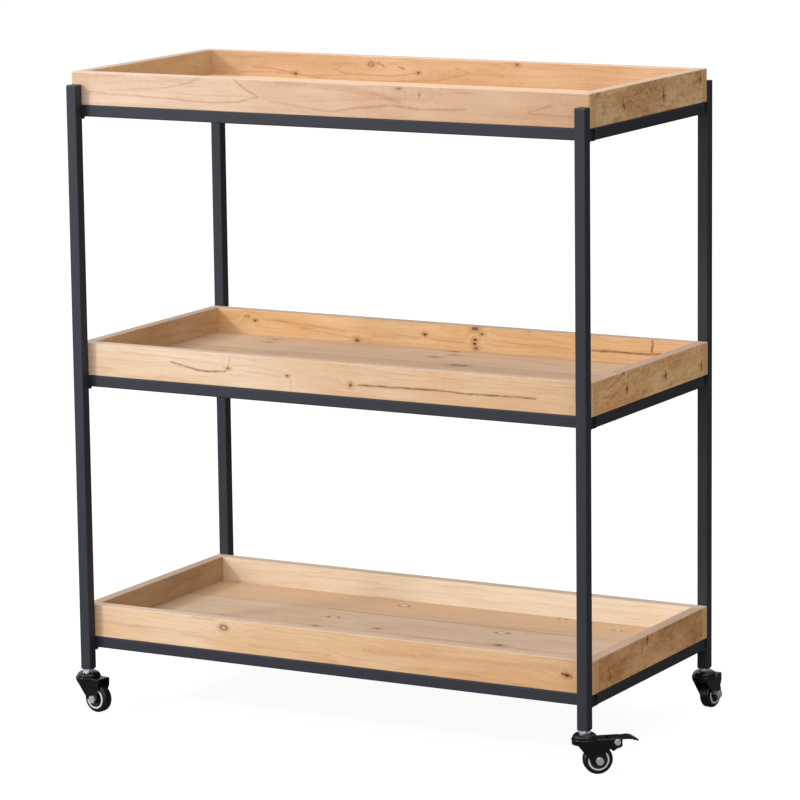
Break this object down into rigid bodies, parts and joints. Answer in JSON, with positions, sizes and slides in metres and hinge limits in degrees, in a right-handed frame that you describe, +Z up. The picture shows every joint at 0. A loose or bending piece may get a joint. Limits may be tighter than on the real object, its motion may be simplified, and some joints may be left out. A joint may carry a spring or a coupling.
{
  "type": "bar cart on wheels",
  "caption": "Rectangular bar cart with open black square-tube frame, shallow wooden trays on every level and small swivel casters, some with foot brakes, for serving and storing drinks.",
  "frame": {"origin": "on the floor, under the middle of the four-post frame", "axes": "+X along the length to the right, +Y from the front to the back, +Z up"},
  "size_m": [0.901, 0.441, 0.909],
  "materials": {
    "frame_paint": "fine satin powder coat, charcoal black",
    "black_plastic": "fine moulded matte",
    "wood_boards": "sanded fir with visible grain and knots, thin matte clear coat",
    "wood_floor": "sanded fir planks edge-glued, thin matte clear coat",
    "zinc": "bright zinc plate",
    "black_gloss": "gloss black dip coat",
    "cream_plastic": "moulded, pale ring and dark recess",
    "tyre": "smooth black tread"
  },
  "bodies": {
    "cart": {"post_front_left": "frame_paint", "post_front_right": "frame_paint", "post_rear_left": "frame_paint", "post_rear_right": "frame_paint", "post_top_caps": "black_plastic", "post_foot_inserts": "black_plastic", "rail_bottom_front": "frame_paint", "rail_bottom_rear": "frame_paint", "rail_bottom_left": "frame_paint", "rail_bottom_right": "frame_paint", "rail_middle_front": "frame_paint", "rail_middle_rear": "frame_paint", "rail_middle_left": "frame_paint", "rail_middle_right": "frame_paint", "rail_top_front": "frame_paint", "rail_top_rear": "frame_paint", "rail_top_left": "frame_paint", "rail_top_right": "frame_paint", "rail_end_plugs": "black_plastic", "weld_beads": "frame_paint", "tray_bottom_front_board": "wood_boards", "tray_bottom_back_board": "wood_boards", "tray_bottom_left_board": "wood_boards", "tray_bottom_right_board": "wood_boards", "tray_bottom_floor": "wood_floor", "tray_middle_front_board": "wood_boards", "tray_middle_back_board": "wood_boards", "tray_middle_left_board": "wood_boards", "tray_middle_right_board": "wood_boards", "tray_middle_floor": "wood_floor", "tray_top_front_board": "wood_boards", "tray_top_back_board": "wood_boards", "tray_top_left_board": "wood_boards", "tray_top_right_board": "wood_boards", "tray_top_floor": "wood_floor", "tray_screws": "zinc", "caster_stems": "zinc", "caster_head_covers": "black_gloss"},
    "swivel_front_left": {"caster_fork_front_left": "black_gloss", "caster_axle_front_left": "zinc"},
    "wheel_front_left": {"caster_wheel_core_front_left": "cream_plastic", "caster_tyre_front_left": "tyre"},
    "swivel_front_right": {"caster_fork_front_right": "black_gloss", "caster_axle_front_right": "zinc", "brake_pivot_front_right": "zinc"},
    "wheel_front_right": {"caster_wheel_core_front_right": "cream_plastic", "caster_tyre_front_right": "tyre"},
    "brake_front_right": {"brake_pedal_front_right": "black_gloss"},
    "swivel_rear_left": {"caster_fork_rear_left": "black_gloss", "caster_axle_rear_left": "zinc", "brake_pivot_rear_left": "zinc"},
    "wheel_rear_left": {"caster_wheel_core_rear_left": "cream_plastic", "caster_tyre_rear_left": "tyre"},
    "brake_rear_left": {"brake_pedal_rear_left": "black_gloss"},
    "swivel_rear_right": {"caster_fork_rear_right": "black_gloss", "caster_axle_rear_right": "zinc"},
    "wheel_rear_right": {"caster_wheel_core_rear_right": "cream_plastic", "caster_tyre_rear_right": "tyre"}
  },
  "joints": [
    {"name": "swivel_front_left", "type": "hinge", "parent": "cart", "child": "swivel_front_left", "pos_m": [-0.392, -0.192, 0.046], "axis": [0, 0, 1], "continuous": true},
    {"name": "wheel_spin_front_left", "type": "hinge", "parent": "swivel_front_left", "child": "wheel_front_left", "pos_m": [-0.37472, -0.19474, 0.02], "axis": [-0.1564, -0.9877, 0], "continuous": true},
    {"name": "swivel_front_right", "type": "hinge", "parent": "cart", "child": "swivel_front_right", "pos_m": [0.392, -0.192, 0.046], "axis": [0, 0, 1], "continuous": true},
    {"name": "wheel_spin_front_right", "type": "hinge", "parent": "swivel_front_right", "child": "wheel_front_right", "pos_m": [0.4056, -0.18099, 0.02], "axis": [0.6293, -0.7771, 0], "continuous": true},
    {"name": "brake_press_front_right", "type": "hinge", "parent": "swivel_front_right", "child": "brake_front_right", "pos_m": [0.42464, -0.16557, 0.0445], "axis": [-0.6293, 0.7771, 0], "range_deg": [0, 22]},
    {"name": "swivel_rear_left", "type": "hinge", "parent": "cart", "child": "swivel_rear_left", "pos_m": [-0.392, 0.192, 0.046], "axis": [0, 0, 1], "continuous": true},
    {"name": "wheel_spin_rear_left", "type": "hinge", "parent": "swivel_rear_left", "child": "wheel_rear_left", "pos_m": [-0.4056, 0.18099, 0.02], "axis": [-0.6293, 0.7771, 0], "continuous": true},
    {"name": "brake_press_rear_left", "type": "hinge", "parent": "swivel_rear_left", "child": "brake_rear_left", "pos_m": [-0.42464, 0.16557, 0.0445], "axis": [0.6293, -0.7771, 0], "range_deg": [0, 22]},
    {"name": "swivel_rear_right", "type": "hinge", "parent": "cart", "child": "swivel_rear_right", "pos_m": [0.392, 0.192, 0.046], "axis": [0, 0, 1], "continuous": true},
    {"name": "wheel_spin_rear_right", "type": "hinge", "parent": "swivel_rear_right", "child": "wheel_rear_right", "pos_m": [0.39353, 0.20943, 0.02], "axis": [0.9962, -0.0872, 0], "continuous": true}
  ]
}
